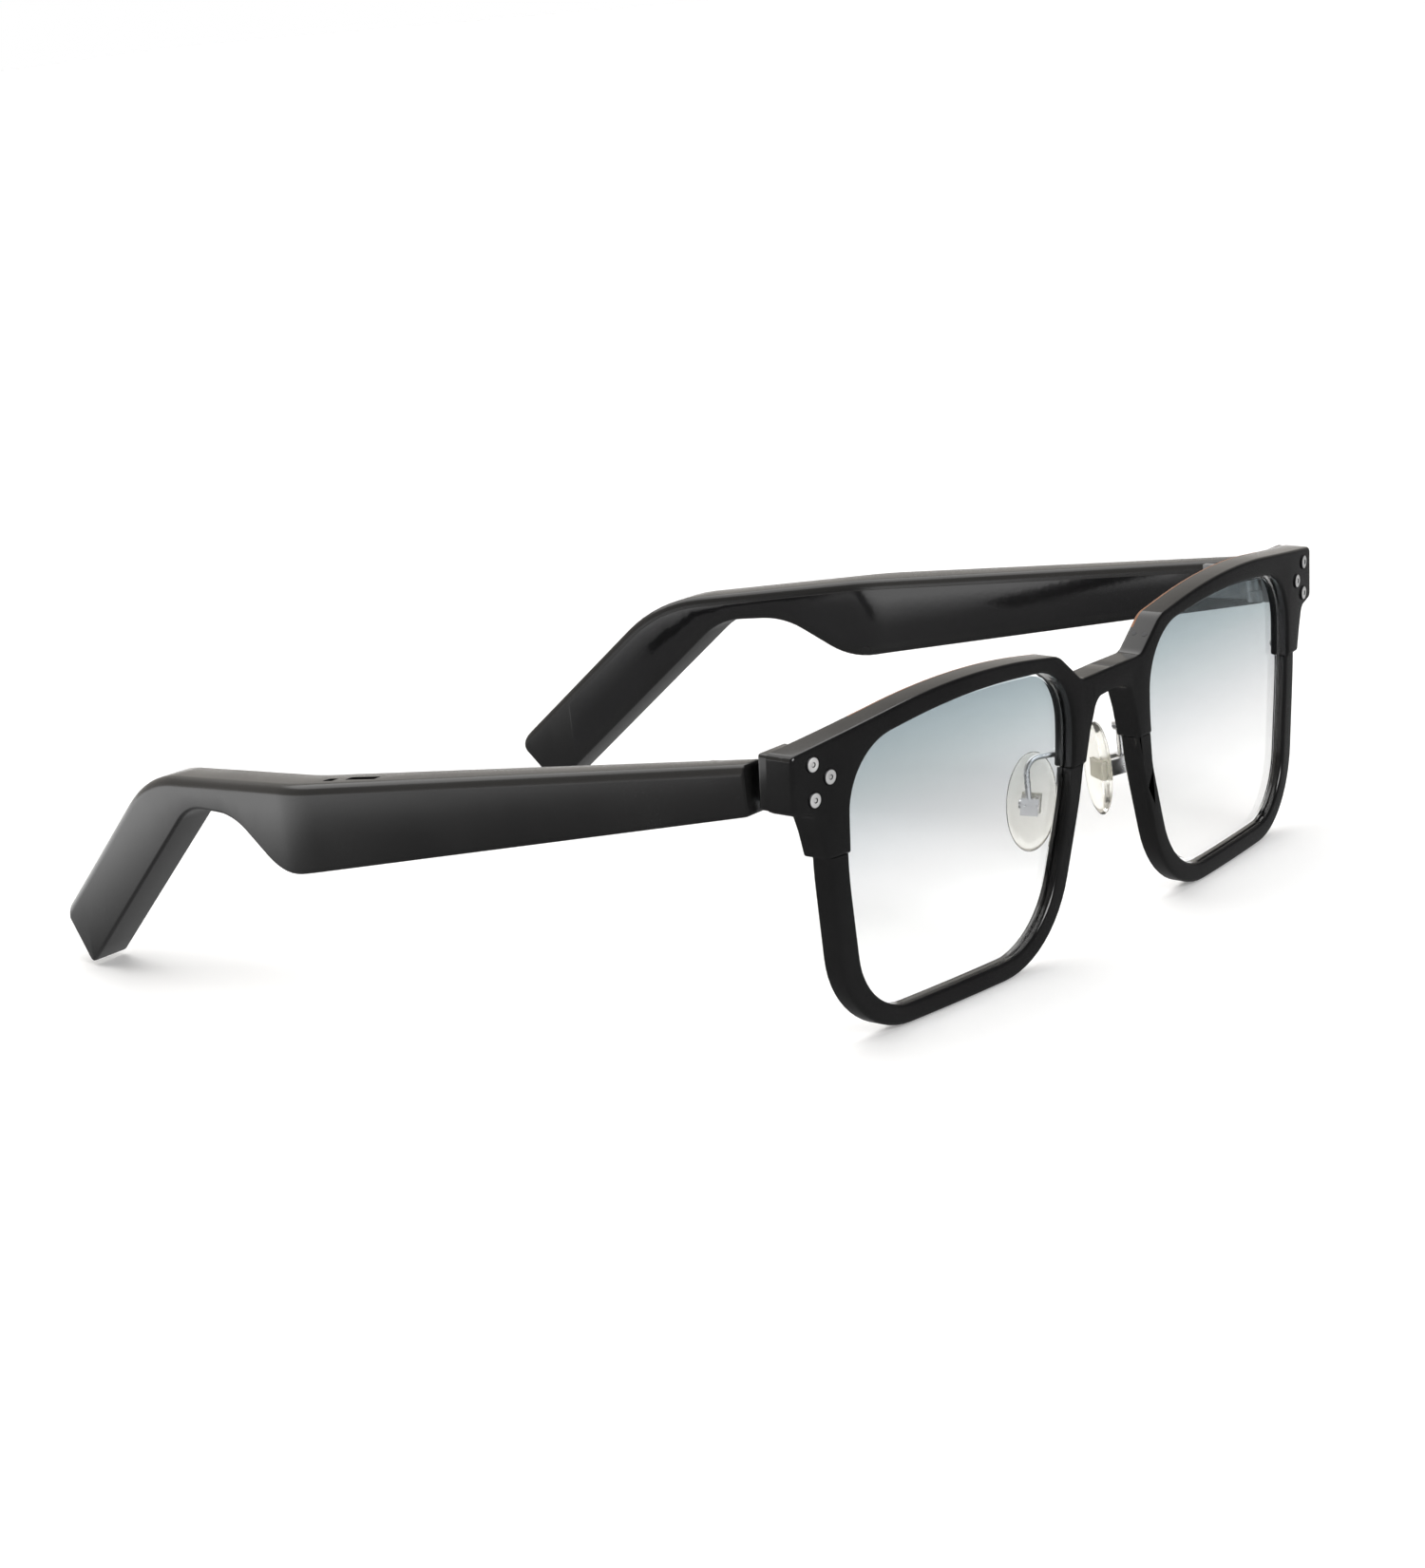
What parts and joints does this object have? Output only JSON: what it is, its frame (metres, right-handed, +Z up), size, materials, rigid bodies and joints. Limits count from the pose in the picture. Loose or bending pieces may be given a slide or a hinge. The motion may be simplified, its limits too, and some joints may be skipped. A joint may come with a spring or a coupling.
{
  "type": "smart glasses",
  "caption": "Browline glasses with a thick upper bar, slim lower rims, graduated lenses, metal pad arms and two thick hollow folding arms that hold audio parts.",
  "frame": {"origin": "bottom centre of the bounding box of the open glasses", "axes": "+Z up, +X towards the wearer's left, +Y from the front back along the arms"},
  "size_m": [0.1564, 0.1614, 0.0472],
  "materials": {
    "brow_plastic": "polished black acetate",
    "rim_plastic": "polished black",
    "lens": "clear with a blue-grey fade from the top",
    "bright_metal": "polished",
    "hinge_metal": "satin",
    "pad_silicone": "clear, slightly cream",
    "pad_insert": "clear frosted",
    "arm_plastic": "satin black",
    "cover_plastic": "polished black",
    "dark_screw": "black oxide",
    "cell_foil": "crimped foil",
    "board": "green solder mask",
    "speaker_case": "matte",
    "fine_mesh": "woven black",
    "brass": "gold plated",
    "flex_film": "amber film",
    "lead_cover": "matte"
  },
  "bodies": {
    "front": {"brow_bar": "brow_plastic", "rim_right": "rim_plastic", "rim_left": "rim_plastic", "lens_right": "lens", "lens_left": "lens", "rivets_right": "bright_metal", "rivets_left": "bright_metal", "brow_pins": "bright_metal", "rim_screws": "bright_metal", "pad_arm_right": "bright_metal", "pad_arm_left": "bright_metal", "pad_screw_right": "bright_metal", "pad_screw_left": "bright_metal", "hinge_front_right": "hinge_metal", "hinge_front_left": "hinge_metal", "hinge_screw_right": "bright_metal", "hinge_screw_left": "bright_metal"},
    "pad_right": {"nose_pad_right": "pad_silicone", "pad_insert_right": "pad_insert"},
    "pad_left": {"nose_pad_left": "pad_silicone", "pad_insert_left": "pad_insert"},
    "arm_right": {"hinge_rear_right": "hinge_metal", "arm_shell_right": "arm_plastic", "arm_cover_right": "cover_plastic", "cover_screws_right": "dark_screw", "battery_right": "cell_foil", "circuit_board_right": "board", "speaker_right": "speaker_case", "speaker_grille_right": "fine_mesh", "vent_mesh_right": "fine_mesh", "microphone_right": "brass", "touch_sensor_right": "flex_film", "battery_lead_right": "lead_cover", "charge_contacts_right": "brass"},
    "arm_left": {"hinge_rear_left": "hinge_metal", "arm_shell_left": "arm_plastic", "arm_cover_left": "cover_plastic", "cover_screws_left": "dark_screw", "battery_left": "cell_foil", "circuit_board_left": "board", "speaker_left": "speaker_case", "speaker_grille_left": "fine_mesh", "microphone_left": "brass", "touch_sensor_left": "flex_film", "battery_lead_left": "lead_cover", "charge_contacts_left": "brass"}
  },
  "joints": [
    {"name": "arm_left_fold", "type": "hinge", "parent": "front", "child": "arm_left", "pos_m": [0.066, -0.06674, 0.0387], "axis": [0, 0, 1], "range_deg": [0, 87]},
    {"name": "arm_right_fold", "type": "hinge", "parent": "front", "child": "arm_right", "pos_m": [-0.066, -0.06674, 0.0387], "axis": [0, 0, -1], "range_deg": [0, 61]},
    {"name": "pad_left_rock", "type": "hinge", "parent": "front", "child": "pad_left", "pos_m": [0.01202, -0.07126, 0.02204], "axis": [0.4548, 0.8781, 0.1488], "range_deg": [-8, 8]},
    {"name": "pad_right_rock", "type": "hinge", "parent": "front", "child": "pad_right", "pos_m": [-0.01202, -0.07126, 0.02204], "axis": [-0.4548, 0.8781, 0.1488], "range_deg": [-8, 8]}
  ]
}
